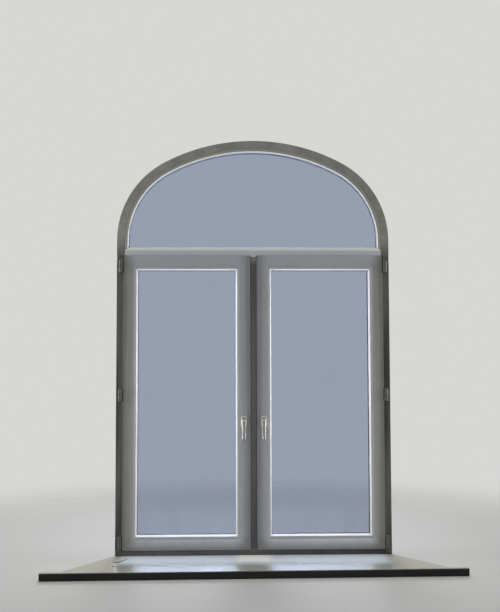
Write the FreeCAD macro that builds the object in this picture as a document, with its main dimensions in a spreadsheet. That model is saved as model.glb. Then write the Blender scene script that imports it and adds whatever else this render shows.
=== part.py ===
"""Arched top window: outer frame, fanlight, two side-hung sashes and window board.

Millimetres. X runs across the window, +Y to the outside, +Z up.
The origin is the middle of the base profile's underside, halfway through the frame's depth.
"""
import FreeCAD, Part
import os
import re
import Sketcher

SIZES = [
    # Outer frame
    ("frame_width", 1532, "overall width of the outer frame"),
    ("frame_depth", 70, "depth of the frame profile, inside face to outside face"),
    ("frame_body", 44, "frame profile, outer edge to rebate floor"),
    ("rebate_height", 20, "frame profile, rebate floor to sight line"),
    ("stop_thickness", 20, "depth of the outer stop of the frame profile"),
    ("sight_bevel", 6, "bevel on the outer sight edges"),
    ("edge_bevel", 2.5, "bevel on the frame's inside edges"),
    ("base_height", 32, "height of the base profile under the frame"),
    ("base_notch", 12, "notch in the base profile for the outer sill"),
    ("transom_level", 1712, "middle of the transom above the base face"),
    ("transom_core", 36, "thickness of the transom between its rebate floors"),
    ("mullion_core", 48, "thickness of the mullion between its rebate floors"),
    ("spring_level", 1789, "springing line of the arch above the base face"),
    ("arch_rise", 505, "rise of the fanlight's sight line above the springing line"),
    ("crown_lift", 65, "top of the arch above the tops of its two side arcs"),
    # Sashes
    ("sash_overlap", 8, "sash flange over the frame's inside face"),
    ("sash_proud", 15, "sash face in front of the frame's inside face"),
    ("sash_depth", 70, "depth of the sash profile"),
    ("flange_width", 20, "width of the sash flange"),
    ("sash_body", 61, "sash profile, outer edge to glazing rebate floor"),
    ("sash_rebate", 22, "height of the sash's glazing rebate"),
    ("sash_stop", 15, "depth of the sash's outer glazing stop"),
    ("sash_round", 6, "rounding of the sash's inside outer edge"),
    ("running_gap", 3, "gap between sash and frame, filled by the seals"),
    # Glazing
    ("glass_unit", 24, "thickness of the sealed double glazing"),
    ("pane_thickness", 4, "thickness of one sheet of glass"),
    ("glass_clearance", 5, "glass edge to rebate floor"),
    ("gasket_thickness", 3, "glazing gasket between glass and profile"),
    ("gasket_height", 8, "height of the glazing gasket"),
    ("gasket_setback", 1, "gasket behind the sight line"),
    ("spacer_cover", 4, "glass edge to spacer bar"),
    ("spacer_height", 9, "height of the spacer bar"),
    ("bead_flat", 15, "flat part of a bead's inside face"),
    ("bead_lip", 4, "upright lip of a bead at the glass"),
    ("bead_joint", 1.2, "bevel along the joint of bead and profile"),
    # Handles
    ("handle_level", 773, "handle spindle above the base face"),
    ("handle_inset", 39, "spindle behind the sash's meeting edge"),
    ("rosette_width", 28, "handle rosette, across"),
    ("rosette_height", 60, "handle rosette, up and down"),
    ("rosette_thickness", 10, "handle rosette, off the sash face"),
    ("rosette_corner", 10, "rounding of the rosette's outline"),
    ("rosette_bevel", 3, "bevel round the rosette's front"),
    ("neck_radius", 9, "round neck of the lever"),
    ("grip_stand_off", 38, "back of the grip to the sash face"),
    ("grip_thickness", 11, "grip, front to back"),
    ("grip_width", 21, "grip, across, at the neck"),
    ("grip_tip_width", 17, "grip, across, at its tip"),
    ("grip_length", 96, "spindle to the tip of the grip"),
    ("grip_corner", 6, "rounding of the grip's outline"),
    ("grip_bevel", 3.5, "bevel round the grip's front"),
    # Hinges
    ("hinge_height", 70, "height of a hinge barrel"),
    ("hinge_width", 20, "width of a hinge barrel"),
    ("hinge_axis", 12, "hinge axis in front of the frame's inside face"),
    ("hinge_gap", 2, "barrel to the sash's edge, bridged by the hinge arm"),
    ("hinge_nose", 8, "rounding of the barrel's front"),
    ("hinge_bevel", 2, "bevel at the barrel's ends"),
    ("arm_height", 46, "height of the hinge arm"),
    ("bearing_width", 30, "width of the corner bearing block"),
    ("bearing_height", 28, "height of the corner bearing block"),
    ("bearing_depth", 16, "corner bearing block off the frame face"),
    ("bottom_hinge_inset", 43, "middle of the bottom barrel above the sash's lower edge"),
    ("top_hinge_inset", 61, "middle of the top barrel below the sash's upper edge"),
    ("middle_hinge_level", 920, "middle of the middle barrel above the base face"),
    # Window board
    ("board_height", 40, "top of the window board above the base face"),
    ("board_thickness", 20, "thickness of the board"),
    ("board_depth_left", 382, "depth of the board at its left end"),
    ("board_depth_right", 346, "depth of the board at its right end"),
    ("board_width", 2204, "board over its two horns"),
    ("board_splay_width", 2008, "board between the horns, at the wall face"),
    ("horn_depth", 26, "horns in front of the wall face"),
    ("nosing_width", 30, "front lip of the board, front to back"),
    ("nosing_round", 9, "rounding of the front lip"),
    # Fixing and drainage
    ("fixing_radius", 3.75, "radius of the fixing holes through the jambs"),
    ("fixing_setback", 10, "fixing holes inside the middle of the frame's depth"),
    ("first_fixing", 200, "lowest fixing hole above the base face"),
    ("last_fixing", 1560, "highest fixing hole above the base face"),
    ("drain_cap_width", 42, "drain cap, across"),
    ("drain_cap_height", 12, "drain cap, up and down"),
    ("drain_cap_thickness", 4, "drain cap off the frame's outside face"),
    ("drain_cap_slope", 5, "sloped top of the drain cap, up and down"),
    ("drain_inset", 240, "outer drain caps from the frame's ends"),
]
NAMES = {name for name, size, note in SIZES}
FIXING_COUNT = 4  # fixing holes through each jamb
CLOSE = 0.05  # millimetres within which two places are the same

doc = FreeCAD.newDocument("arched_window")
sheet = doc.addObject("Spreadsheet::Sheet", "sizes")
for row, (name, size, note) in enumerate(SIZES, 1):
    sheet.set(f"A{row}", name)
    sheet.set(f"B{row}", str(size))
    sheet.setAlias(f"B{row}", name)
    sheet.set(f"C{row}", note)
doc.recompute()

# Derived places, as formulas of the sizes
HALF_WIDTH = "(frame_width / 2)"
INSIDE = "(-frame_depth / 2)"
OUTSIDE = "(frame_depth / 2)"
STOP_FACE = f"({OUTSIDE} - stop_thickness)"
SIGHT = "(frame_body + rebate_height)"
FLOOR_X = f"({HALF_WIDTH} - frame_body)"
SIGHT_X = f"({HALF_WIDTH} - {SIGHT})"
SILL_FLOOR = "(base_height + frame_body)"
TRANSOM_TOP = "(transom_level + transom_core / 2)"
TRANSOM_FOOT = "(transom_level - transom_core / 2)"
HAUNCH_RADIUS = "(arch_rise - crown_lift)"
CROWN_RADIUS = (
    f"(({SIGHT_X} ^ 2 + arch_rise ^ 2 - 2 * {SIGHT_X} * {HAUNCH_RADIUS}) / (2 * crown_lift))"
)
HAUNCH_X = f"({SIGHT_X} - {HAUNCH_RADIUS})"
CROWN_LEVEL = f"(arch_rise - {CROWN_RADIUS})"
HAUNCH_LEAN = f"atan({HAUNCH_X} / ({CROWN_RADIUS} - arch_rise))"
SASH_INSIDE = f"({INSIDE} - sash_proud)"
SASH_OUTSIDE = f"({SASH_INSIDE} + sash_depth)"
SASH_STOP_FACE = f"({SASH_OUTSIDE} - sash_stop)"
SASH_SIGHT = "(sash_body + sash_rebate)"
SASH_GLASS = f"({SASH_STOP_FACE} - gasket_thickness - glass_unit)"
FAN_GLASS = f"({STOP_FACE} - gasket_thickness - glass_unit)"
SASH_LEFT = f"({HALF_WIDTH} - frame_body + sash_overlap)"
SASH_RIGHT = "(mullion_core / 2 - sash_overlap)"
SASH_FOOT = f"({SILL_FLOOR} - sash_overlap)"
SASH_TOP = f"({TRANSOM_FOOT} + sash_overlap)"


def value(text):
    """The number that a formula of the sizes gives now."""
    result = sheet.evalExpression(text)
    return float(getattr(result, "Value", result))


def formula(text):
    """The same formula, with each size looked up in the sheet."""
    return re.sub(r"[a-z_]+", lambda m: f"sizes.{m[0]}" if m[0] in NAMES else m[0], text)


def bind(target, path, text):
    target.setExpression(path, formula(text))


def new_body(name):
    body = doc.addObject("PartDesign::Body", name)
    body.Label = name
    return body


def place(thing, x="0", y="0", z="0", turn=0):
    """Put a body at a point, turned about the Y axis."""
    thing.Placement = FreeCAD.Placement(
        FreeCAD.Vector(value(x), value(y), value(z)),
        FreeCAD.Rotation(FreeCAD.Vector(0, 1, 0), turn),
    )
    for axis, text in zip("xyz", (x, y, z)):
        bind(thing, f".Placement.Base.{axis}", text)


def new_sketch(body, plane, offset=None):
    """A sketch on an origin plane, moved along the plane's normal by an offset."""
    sketch = body.newObject("Sketcher::SketchObject", "sketch")
    support = [f for f in body.Origin.OriginFeatures if f.Role == plane][0]
    sketch.AttachmentSupport = [(support, "")]
    sketch.MapMode = "FlatFace"
    if offset:
        bind(sketch, ".AttachmentOffset.Base.z", offset)
    return sketch


def fix_point(sketch, geometry, end, x, y):
    """Hold one point of a sketch at two formulas."""
    for kind, text, axis in (("DistanceX", x, -2), ("DistanceY", y, -1)):
        if text == "0":
            sketch.addConstraint(Sketcher.Constraint("PointOnObject", geometry, end, axis))
        else:
            held = Sketcher.Constraint(kind, -1, 1, geometry, end, value(text))
            bind(sketch, f"Constraints[{sketch.addConstraint(held)}]", text)


def fix_radius(sketch, geometry, text):
    held = Sketcher.Constraint("Radius", geometry, value(text))
    bind(sketch, f"Constraints[{sketch.addConstraint(held)}]", text)


def add_arc(sketch, centre, radius, start, end):
    """A counter-clockwise arc between two directions seen from its centre."""
    circle = Part.Circle(centre, FreeCAD.Vector(0, 0, 1), radius)
    across = FreeCAD.Vector(1, 0, 0)
    turns = []
    for way in (start, end):
        angle = across.getAngle(way)
        turns.append(angle if way.y >= 0 else -angle)
    return sketch.addGeometry(Part.ArcOfCircle(circle, turns[0], turns[1]))


def outline(sketch, corners):
    """A closed outline through corners (x, y), or (x, y, radius) where square and rounded."""
    spots = [FreeCAD.Vector(value(c[0]), value(c[1]), 0) for c in corners]
    count = len(corners)
    into, out = list(spots), list(spots)
    for i, corner in enumerate(corners):
        if len(corner) == 3:
            back = (spots[i - 1] - spots[i]).normalize()
            ahead = (spots[(i + 1) % count] - spots[i]).normalize()
            into[i] = spots[i] + back * value(corner[2])
            out[i] = spots[i] + ahead * value(corner[2])
    sides = [
        sketch.addGeometry(Part.LineSegment(out[i], into[(i + 1) % count]))
        for i in range(count)
    ]
    for i, corner in enumerate(corners):
        if len(corner) == 2:
            sketch.addConstraint(Sketcher.Constraint("Coincident", sides[i - 1], 2, sides[i], 1))
            fix_point(sketch, sides[i], 1, corner[0], corner[1])
            continue
        x, y, radius = corner
        centre = into[i] + out[i] - spots[i]
        left_turn = (spots[i] - into[i]).cross(out[i] - spots[i]).z > 0
        ends = (into[i], out[i]) if left_turn else (out[i], into[i])
        arc = add_arc(sketch, centre, value(radius), ends[0] - centre, ends[1] - centre)
        near, far = (1, 2) if left_turn else (2, 1)
        sketch.addConstraint(Sketcher.Constraint("Tangent", sides[i - 1], 2, arc, near))
        sketch.addConstraint(Sketcher.Constraint("Tangent", sides[i], 1, arc, far))
        fix_radius(sketch, arc, radius)
        shift = (centre - spots[i]) * (1 / value(radius))
        fix_point(
            sketch, arc, 3,
            f"{x} + {round(shift.x)} * {radius}",
            f"{y} + {round(shift.y)} * {radius}",
        )


def arch_outline(sketch, spread, foot):
    """The fanlight's outline, spread outwards from the sight line, down to a foot level."""
    tilt = FreeCAD.Rotation(FreeCAD.Vector(0, 0, 1), -value(HAUNCH_LEAN))
    up = FreeCAD.Vector(0, 1, 0)
    right_joint = tilt.multVec(up)
    left_joint = tilt.inverted().multVec(up)
    half = value(f"{SIGHT_X} + {spread}")
    low = value(foot)
    haunch = FreeCAD.Vector(value(HAUNCH_X), 0, 0)
    crown = FreeCAD.Vector(0, value(CROWN_LEVEL), 0)
    small = value(f"{HAUNCH_RADIUS} + {spread}")
    large = value(f"{CROWN_RADIUS} + {spread}")
    across = FreeCAD.Vector(1, 0, 0)
    feet = ((-half, low), (half, low), (half, 0), (-half, 0))
    spots = [FreeCAD.Vector(x, y, 0) for x, y in feet]
    bottom = sketch.addGeometry(Part.LineSegment(spots[0], spots[1]))
    right_leg = sketch.addGeometry(Part.LineSegment(spots[1], spots[2]))
    left_leg = sketch.addGeometry(Part.LineSegment(spots[3], spots[0]))
    right_arc = add_arc(sketch, haunch, small, across, right_joint)
    top_arc = add_arc(sketch, crown, large, right_joint, left_joint)
    left_arc = add_arc(sketch, -haunch, small, left_joint, -across)
    for kind, first, end, second, start in (
        ("Coincident", bottom, 2, right_leg, 1),
        ("Coincident", left_leg, 2, bottom, 1),
        ("Tangent", right_leg, 2, right_arc, 1),
        ("Tangent", right_arc, 2, top_arc, 1),
        ("Tangent", top_arc, 2, left_arc, 1),
        ("Tangent", left_arc, 2, left_leg, 1),
    ):
        sketch.addConstraint(Sketcher.Constraint(kind, first, end, second, start))
    sketch.addConstraint(Sketcher.Constraint("Horizontal", bottom))
    sketch.addConstraint(Sketcher.Constraint("Vertical", right_leg))
    sketch.addConstraint(Sketcher.Constraint("Vertical", left_leg))
    held = Sketcher.Constraint("DistanceY", -1, 1, bottom, 1, low)
    bind(sketch, f"Constraints[{sketch.addConstraint(held)}]", foot)
    fix_point(sketch, right_arc, 3, HAUNCH_X, "0")
    fix_point(sketch, left_arc, 3, f"-{HAUNCH_X}", "0")
    fix_radius(sketch, right_arc, f"{HAUNCH_RADIUS} + {spread}")
    fix_radius(sketch, left_arc, f"{HAUNCH_RADIUS} + {spread}")
    fix_radius(sketch, top_arc, f"{CROWN_RADIUS} + {spread}")


def pad(body, sketch, length, backwards=False):
    made = body.newObject("PartDesign::Pad", "pad")
    made.Profile = sketch
    made.Reversed = backwards
    bind(made, "Length", length)
    return made


def cut_through(body, sketch):
    """A pocket through everything, both ways from its sketch."""
    made = body.newObject("PartDesign::Pocket", "pocket")
    made.Profile = sketch
    made.Type = "ThroughAll"
    made.Midplane = True
    return made


def dress_edges(body, kind, size, wanted):
    """A fillet or chamfer on the edges of the body's last feature that the test picks out."""
    doc.recompute()
    base = body.Tip
    names = [f"Edge{i}" for i, edge in enumerate(base.Shape.Edges, 1) if wanted(edge.BoundBox)]
    made = body.newObject(f"PartDesign::{kind}", kind.lower())
    made.Base = (base, names)
    bind(made, "Radius" if kind == "Fillet" else "Size", size)


def group(name, bodies):
    """One node of like pieces that lie apart."""
    made = doc.addObject("Part::Compound", name)
    made.Label = name
    made.Links = bodies
    return made


def mitred_bar(name, corners, width, length, spot, turn, mitres=("start", "end")):
    """A straight bar of a section (across, depth), with mitred ends.

    The section's first axis points inwards from the bar's outer edge.
    """
    body = new_body(name)
    section = new_sketch(body, "XY_Plane")
    outline(section, corners)
    pad(body, section, length)
    ends = new_sketch(body, "XZ_Plane")
    over = "sight_bevel"
    far = f"({width} + {over})"
    if "start" in mitres:
        outline(ends, [(f"-{over}", f"-{over}"), (far, f"-{over}"), (far, far)])
    if "end" in mitres:
        beyond = f"({length} + {over})"
        outline(ends, [(f"-{over}", beyond), (far, f"{length} - {far}"), (far, beyond)])
    cut_through(body, ends)
    place(body, spot[0], "0", spot[1], turn)
    return body


def bar_ring(names, corners, width, box):
    """Four mitred bars round a box (left, right, bottom, top): left, top, right, bottom."""
    left, right, bottom, top = box
    tall = f"({top} - {bottom})"
    wide = f"({right} - {left})"
    spots = (
        (tall, (left, bottom), 0),
        (wide, (left, top), 90),
        (tall, (right, top), 180),
        (wide, (right, bottom), -90),
    )
    return [
        mitred_bar(name, corners, width, length, spot, turn)
        for name, (length, spot, turn) in zip(names, spots)
    ]


def inset(box, amount):
    left, right, bottom, top = box
    return (
        f"({left} + {amount})", f"({right} - {amount})",
        f"({bottom} + {amount})", f"({top} - {amount})",
    )


def box_corners(box):
    left, right, bottom, top = box
    return [(left, bottom), (right, bottom), (right, top), (left, top)]


def flat_panel(name, box, depth, thickness, hole=None):
    """A flat rectangular sheet or ring that stands in the window's plane."""
    body = new_body(name)
    sketch = new_sketch(body, "XZ_Plane")
    outline(sketch, box_corners(box))
    if hole:
        outline(sketch, box_corners(hole))
    pad(body, sketch, thickness, backwards=True)
    place(body, "0", depth)
    return body


def arch_panel(name, spread, foot, depth, thickness, hole=None):
    """The same in the fanlight's shape. A hole is a spread and a foot level."""
    body = new_body(name)
    sketch = new_sketch(body, "XZ_Plane")
    arch_outline(sketch, spread, foot)
    if hole:
        arch_outline(sketch, hole[0], hole[1])
    pad(body, sketch, thickness, backwards=True)
    place(body, "0", depth, "spring_level")
    return body


def frame_section():
    """Outer frame: (in from the outer edge, depth)."""
    return [
        ("0", INSIDE),
        ("(frame_body - edge_bevel)", INSIDE),
        ("frame_body", f"({INSIDE} + edge_bevel)"),
        ("frame_body", STOP_FACE),
        (SIGHT, STOP_FACE),
        (SIGHT, f"({OUTSIDE} - sight_bevel)"),
        (f"({SIGHT} - sight_bevel)", OUTSIDE),
        ("0", OUTSIDE),
    ]


def post_section(core):
    """Transom or mullion: (across from its middle line, depth)."""
    half = f"({core} / 2)"
    tip = f"({core} / 2 + rebate_height)"
    return [
        (f"-{half}", f"({INSIDE} + edge_bevel)"),
        (f"-({half} - edge_bevel)", INSIDE),
        (f"({half} - edge_bevel)", INSIDE),
        (half, f"({INSIDE} + edge_bevel)"),
        (half, STOP_FACE),
        (tip, STOP_FACE),
        (tip, f"({OUTSIDE} - sight_bevel)"),
        (f"({tip} - sight_bevel)", OUTSIDE),
        (f"-({tip} - sight_bevel)", OUTSIDE),
        (f"-{tip}", f"({OUTSIDE} - sight_bevel)"),
        (f"-{tip}", STOP_FACE),
        (f"-{half}", STOP_FACE),
    ]


def sash_section():
    """Sash: (in from the flange's edge, depth)."""
    flange_back = f"({INSIDE} - running_gap)"
    closing_face = f"({STOP_FACE} - running_gap)"
    step = "(rebate_height + sash_overlap + running_gap)"
    return [
        ("0", SASH_INSIDE, "sash_round"),
        ("(sash_body - bead_joint)", SASH_INSIDE),
        ("sash_body", f"({SASH_INSIDE} + bead_joint)"),
        ("sash_body", SASH_STOP_FACE),
        (SASH_SIGHT, SASH_STOP_FACE),
        (SASH_SIGHT, f"({SASH_OUTSIDE} - sight_bevel)"),
        (f"({SASH_SIGHT} - sight_bevel)", SASH_OUTSIDE),
        (step, SASH_OUTSIDE),
        (step, closing_face),
        ("flange_width", closing_face),
        ("flange_width", flange_back),
        ("0", flange_back),
    ]


def bead_section(height, face, back):
    """Glazing bead: (up from the rebate floor, depth)."""
    return [
        ("0", f"({face} + bead_joint)"),
        ("bead_joint", face),
        ("bead_flat", face),
        (height, f"({back} - bead_lip)"),
        (height, back),
        ("0", back),
    ]


def contour_ends(body, plane, reach, sign, full):
    """Trim the outer stop at one end of a transom or mullion to the profile it meets.

    Reach is the rebate floor it runs to, and sign the side that the end is on.
    """
    sketch = new_sketch(body, plane)
    sight = f"({reach} - rebate_height)"
    beyond = f"({reach} + rebate_height)"
    corners = [
        (sight, STOP_FACE),
        (sight, f"({OUTSIDE} - sight_bevel)"),
        (f"({sight} + 2 * sight_bevel)", f"({OUTSIDE} + sight_bevel)"),
        (beyond, f"({OUTSIDE} + sight_bevel)"),
        (beyond, STOP_FACE),
    ]
    outline(sketch, [full(f"{sign} * {u}", y) for u, y in corners])
    cut_through(body, sketch)


def make_base_profile():
    body = new_body("base_profile")
    sketch = new_sketch(body, "YZ_Plane", f"-{HALF_WIDTH}")
    notch_y = f"({OUTSIDE} - base_notch)"
    outline(sketch, [
        (INSIDE, "0"), (notch_y, "0"), (notch_y, "base_notch"),
        (OUTSIDE, "base_notch"), (OUTSIDE, "base_height"), (INSIDE, "base_height"),
    ])
    pad(body, sketch, "frame_width")


def make_jamb(name, side):
    """A jamb from the lower mitre to the springing line, with its fixing holes."""
    tall = "(spring_level - base_height)"
    if side < 0:
        spot, turn, mitre = (f"-{HALF_WIDTH}", "base_height"), 0, ("start",)
    else:
        spot, turn, mitre = (HALF_WIDTH, "spring_level"), 180, ("end",)
    body = mitred_bar(name, frame_section(), SIGHT, tall, spot, turn, mitre)
    holes = new_sketch(body, "YZ_Plane")
    for step in range(FIXING_COUNT):
        share = f"{step} / {FIXING_COUNT - 1}"
        level = f"(first_fixing + (last_fixing - first_fixing) * {share})"
        along = f"({level} - base_height)" if side < 0 else f"(spring_level - {level})"
        centre = FreeCAD.Vector(value("-fixing_setback"), value(along), 0)
        circle = Part.Circle(centre, FreeCAD.Vector(0, 0, 1), value("fixing_radius"))
        hole = holes.addGeometry(circle)
        fix_point(holes, hole, 3, "-fixing_setback", along)
        fix_radius(holes, hole, "fixing_radius")
    cut_through(body, holes)


def make_arch_member(name, corners, offset, legs=None):
    """A bar bent round the three-centred arch, from a section (inwards from offset, depth).

    Offset is how far outside the sight line the section starts. Legs carry it straight
    down to a level below the springing line, with mitred feet.
    """
    body = new_body(name)
    crown = new_sketch(body, "YZ_Plane")
    outline(crown, [
        (c[1], f"(arch_rise + {offset} - {c[0]})") + tuple(c[2:]) for c in corners
    ])
    axis = crown.addGeometry(Part.LineSegment(
        FreeCAD.Vector(value(INSIDE), value(CROWN_LEVEL), 0),
        FreeCAD.Vector(value(OUTSIDE), value(CROWN_LEVEL), 0),
    ), True)
    fix_point(crown, axis, 1, INSIDE, CROWN_LEVEL)
    fix_point(crown, axis, 2, OUTSIDE, CROWN_LEVEL)
    top = body.newObject("PartDesign::Revolution", "crown")
    top.Profile = crown
    top.ReferenceAxis = (crown, ["Axis0"])
    top.Midplane = True
    bind(top, "Angle", f"2 * {HAUNCH_LEAN}")

    spring = [(f"(-{SIGHT_X} - {offset} + {c[0]})",) + tuple(c[1:]) for c in corners]
    side = new_sketch(body, "XY_Plane")
    outline(side, spring)
    axis = side.addGeometry(Part.LineSegment(
        FreeCAD.Vector(-value(HAUNCH_X), value(INSIDE), 0),
        FreeCAD.Vector(-value(HAUNCH_X), value(OUTSIDE), 0),
    ), True)
    fix_point(side, axis, 1, f"-{HAUNCH_X}", INSIDE)
    fix_point(side, axis, 2, f"-{HAUNCH_X}", OUTSIDE)
    haunch = body.newObject("PartDesign::Revolution", "haunch")
    haunch.Profile = side
    haunch.ReferenceAxis = (side, ["Axis0"])
    bind(haunch, "Angle", f"90 deg - {HAUNCH_LEAN}")
    copied = [haunch]
    if legs:
        foot = new_sketch(body, "XY_Plane")
        outline(foot, spring)
        copied.append(pad(body, foot, legs, backwards=True))
    mirror = body.newObject("PartDesign::Mirrored", "mirror")
    plane = [f for f in body.Origin.OriginFeatures if f.Role == "YZ_Plane"][0]
    mirror.MirrorPlane = (plane, [""])
    mirror.Originals = copied
    body.Tip = mirror
    if legs:
        ends = new_sketch(body, "XZ_Plane")
        outer = f"({SIGHT_X} + {offset})"
        over = "sight_bevel"
        for sign in ("-", ""):
            away = f"{sign}({outer} + {over})"
            near = f"{sign}({outer} - {offset} - {over})"
            outline(ends, [
                (away, f"(-{legs} - {over})"),
                (near, f"(-{legs} - {over})"),
                (near, f"(-{legs} + {offset} + {over})"),
            ])
        cut_through(body, ends)
    place(body, "0", "0", "spring_level")
    return body


def make_transom():
    body = new_body("transom")
    sketch = new_sketch(body, "YZ_Plane", f"-{FLOOR_X}")
    outline(sketch, [(c[1], c[0]) + tuple(c[2:]) for c in post_section("transom_core")])
    pad(body, sketch, f"2 * {FLOOR_X}")
    for sign in ("-1", "1"):
        contour_ends(body, "XY_Plane", FLOOR_X, sign, lambda u, y: (u, y))
    place(body, "0", "0", "transom_level")


def make_mullion():
    body = new_body("mullion")
    tall = f"({TRANSOM_FOOT} - {SILL_FLOOR})"
    sketch = new_sketch(body, "XY_Plane", f"-{tall} / 2")
    outline(sketch, post_section("mullion_core"))
    pad(body, sketch, tall)
    for sign in ("-1", "1"):
        contour_ends(body, "YZ_Plane", f"({tall} / 2)", sign, lambda u, y: (y, u))
    place(body, "0", "0", f"(({TRANSOM_FOOT} + {SILL_FLOOR}) / 2)")


def make_frame():
    make_base_profile()
    mitred_bar(
        "frame_bottom_rail", frame_section(), SIGHT, "frame_width",
        (HALF_WIDTH, "base_height"), -90,
    )
    make_jamb("left_jamb", -1)
    make_jamb("right_jamb", 1)
    make_arch_member("arch_head", frame_section(), SIGHT)
    make_transom()
    make_mullion()


def make_fanlight():
    """Fixed glazing above the transom, beaded straight into the frame."""
    floor = f"({TRANSOM_TOP} - spring_level)"
    edge = "(rebate_height - glass_clearance)"
    foot = f"({floor} + glass_clearance)"
    panes = [
        arch_panel("fanlight_inner_pane", edge, foot, FAN_GLASS, "pane_thickness"),
        arch_panel(
            "fanlight_outer_pane", edge, foot,
            f"({FAN_GLASS} + glass_unit - pane_thickness)", "pane_thickness",
        ),
    ]
    group("fanlight_glass", panes)
    arch_panel(
        "fanlight_spacer", f"({edge} - spacer_cover)", f"({foot} + spacer_cover)",
        f"({FAN_GLASS} + pane_thickness)", "(glass_unit - 2 * pane_thickness)",
        (f"({edge} - spacer_cover - spacer_height)", f"({foot} + spacer_cover + spacer_height)"),
    )
    low = f"({floor} + rebate_height - gasket_setback - gasket_height)"
    high = f"({floor} + rebate_height - gasket_setback)"
    gaskets = [
        arch_panel(
            name, "(gasket_setback + gasket_height)", low, depth, "gasket_thickness",
            ("gasket_setback", high),
        )
        for name, depth in (
            ("fanlight_inner_gasket", f"({FAN_GLASS} - gasket_thickness)"),
            ("fanlight_outer_gasket", f"({FAN_GLASS} + glass_unit)"),
        )
    ]
    group("fanlight_gasket", gaskets)
    back = f"({FAN_GLASS} - gasket_thickness)"
    corners = bead_section("rebate_height", INSIDE, back)
    make_arch_member(
        "fanlight_arch_bead", corners, "rebate_height", f"(spring_level - {TRANSOM_TOP})",
    )
    mitred_bar(
        "fanlight_bottom_bead", corners, "rebate_height", f"(2 * {FLOOR_X})",
        (FLOOR_X, TRANSOM_TOP), -90,
    )


def make_sash(side, hand):
    """One sash with its glazing and seals. Hand is -1 on the left, 1 on the right."""
    if hand < 0:
        box = (f"(-{SASH_LEFT})", f"(-{SASH_RIGHT})", SASH_FOOT, SASH_TOP)
        stiles = ("hinge_stile", "lock_stile")
    else:
        box = (SASH_RIGHT, SASH_LEFT, SASH_FOOT, SASH_TOP)
        stiles = ("lock_stile", "hinge_stile")
    parts = (stiles[0], "top_rail", stiles[1], "bottom_rail")
    bar_ring([f"{side}_sash_{part}" for part in parts], sash_section(), SASH_SIGHT, box)

    edge = inset(box, "(sash_body + glass_clearance)")
    depths = (SASH_GLASS, f"({SASH_GLASS} + glass_unit - pane_thickness)")
    group(f"{side}_sash_glass", [
        flat_panel(f"{side}_sash_pane_{i}", edge, depth, "pane_thickness")
        for i, depth in enumerate(depths)
    ])
    spacer = inset(edge, "spacer_cover")
    flat_panel(
        f"{side}_sash_spacer", spacer, f"({SASH_GLASS} + pane_thickness)",
        "(glass_unit - 2 * pane_thickness)", inset(spacer, "spacer_height"),
    )
    inner = inset(box, f"({SASH_SIGHT} - gasket_setback)")
    outer = inset(box, f"({SASH_SIGHT} - gasket_setback - gasket_height)")
    depths = (f"({SASH_GLASS} - gasket_thickness)", f"({SASH_GLASS} + glass_unit)")
    group(f"{side}_sash_gasket", [
        flat_panel(f"{side}_sash_gasket_{i}", outer, depth, "gasket_thickness", inner)
        for i, depth in enumerate(depths)
    ])
    back = f"({SASH_GLASS} - gasket_thickness)"
    beads = bar_ring(
        [f"{side}_sash_bead_{i}" for i in range(4)],
        bead_section("sash_rebate", SASH_INSIDE, back), "sash_rebate", inset(box, "sash_body"),
    )
    group(f"{side}_sash_upright_beads", beads[0::2])
    group(f"{side}_sash_cross_beads", beads[1::2])

    seal_edge = "gasket_setback"
    seal_inner = "(sash_overlap - gasket_setback)"
    tip = "(sash_overlap + rebate_height - gasket_setback)"
    rings = (
        (seal_edge, seal_inner, f"({INSIDE} - running_gap)"),
        (f"({tip} - gasket_height + gasket_setback)", tip, f"({STOP_FACE} - running_gap)"),
    )
    group(f"{side}_sash_seals", [
        flat_panel(
            f"{side}_sash_seal_{i}", inset(box, start), depth, "running_gap", inset(box, end),
        )
        for i, (start, end, depth) in enumerate(rings)
    ])


def make_handle(side, hand):
    """Rosette and lever on the lock stile, the lever hanging down."""
    x = f"{hand} * ({SASH_RIGHT} + handle_inset)"
    rosette = new_body(f"{side}_handle_rosette")
    plate = new_sketch(rosette, "XZ_Plane")
    half, tall = "(rosette_width / 2)", "(rosette_height / 2)"
    outline(plate, [
        (f"-{half}", f"-{tall}", "rosette_corner"), (half, f"-{tall}", "rosette_corner"),
        (half, tall, "rosette_corner"), (f"-{half}", tall, "rosette_corner"),
    ])
    pad(rosette, plate, "rosette_thickness")
    face = -value("rosette_thickness")
    dress_edges(rosette, "Chamfer", "rosette_bevel", lambda box: abs(box.YMax - face) < CLOSE)
    place(rosette, x, SASH_INSIDE, "handle_level")

    lever = new_body(f"{side}_handle_lever")
    grip = new_sketch(lever, "XZ_Plane", "grip_stand_off")
    wide, tip, head = "(grip_width / 2)", "(grip_tip_width / 2)", "(neck_radius + grip_bevel)"
    outline(grip, [
        (f"-{wide}", head), (f"-{wide}", "-neck_radius"),
        (f"-{tip}", "-grip_length"), (tip, "-grip_length"),
        (wide, "-neck_radius"), (wide, head),
    ])
    pad(lever, grip, "grip_thickness")
    shoulder = -value("neck_radius")
    dress_edges(
        lever, "Fillet", "grip_corner",
        lambda box: box.YLength > CLOSE and abs(box.ZMax - shoulder) > CLOSE,
    )
    front = -value("grip_stand_off + grip_thickness")
    dress_edges(lever, "Chamfer", "grip_bevel", lambda box: abs(box.YMax - front) < CLOSE)
    neck = new_sketch(lever, "XZ_Plane", "rosette_thickness")
    circle = Part.Circle(FreeCAD.Vector(), FreeCAD.Vector(0, 0, 1), value("neck_radius"))
    ring = neck.addGeometry(circle)
    fix_point(neck, ring, 3, "0", "0")
    fix_radius(neck, ring, "neck_radius")
    pad(lever, neck, "(grip_stand_off - rosette_thickness + grip_thickness / 2)")
    place(lever, x, SASH_INSIDE, "handle_level")


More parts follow.
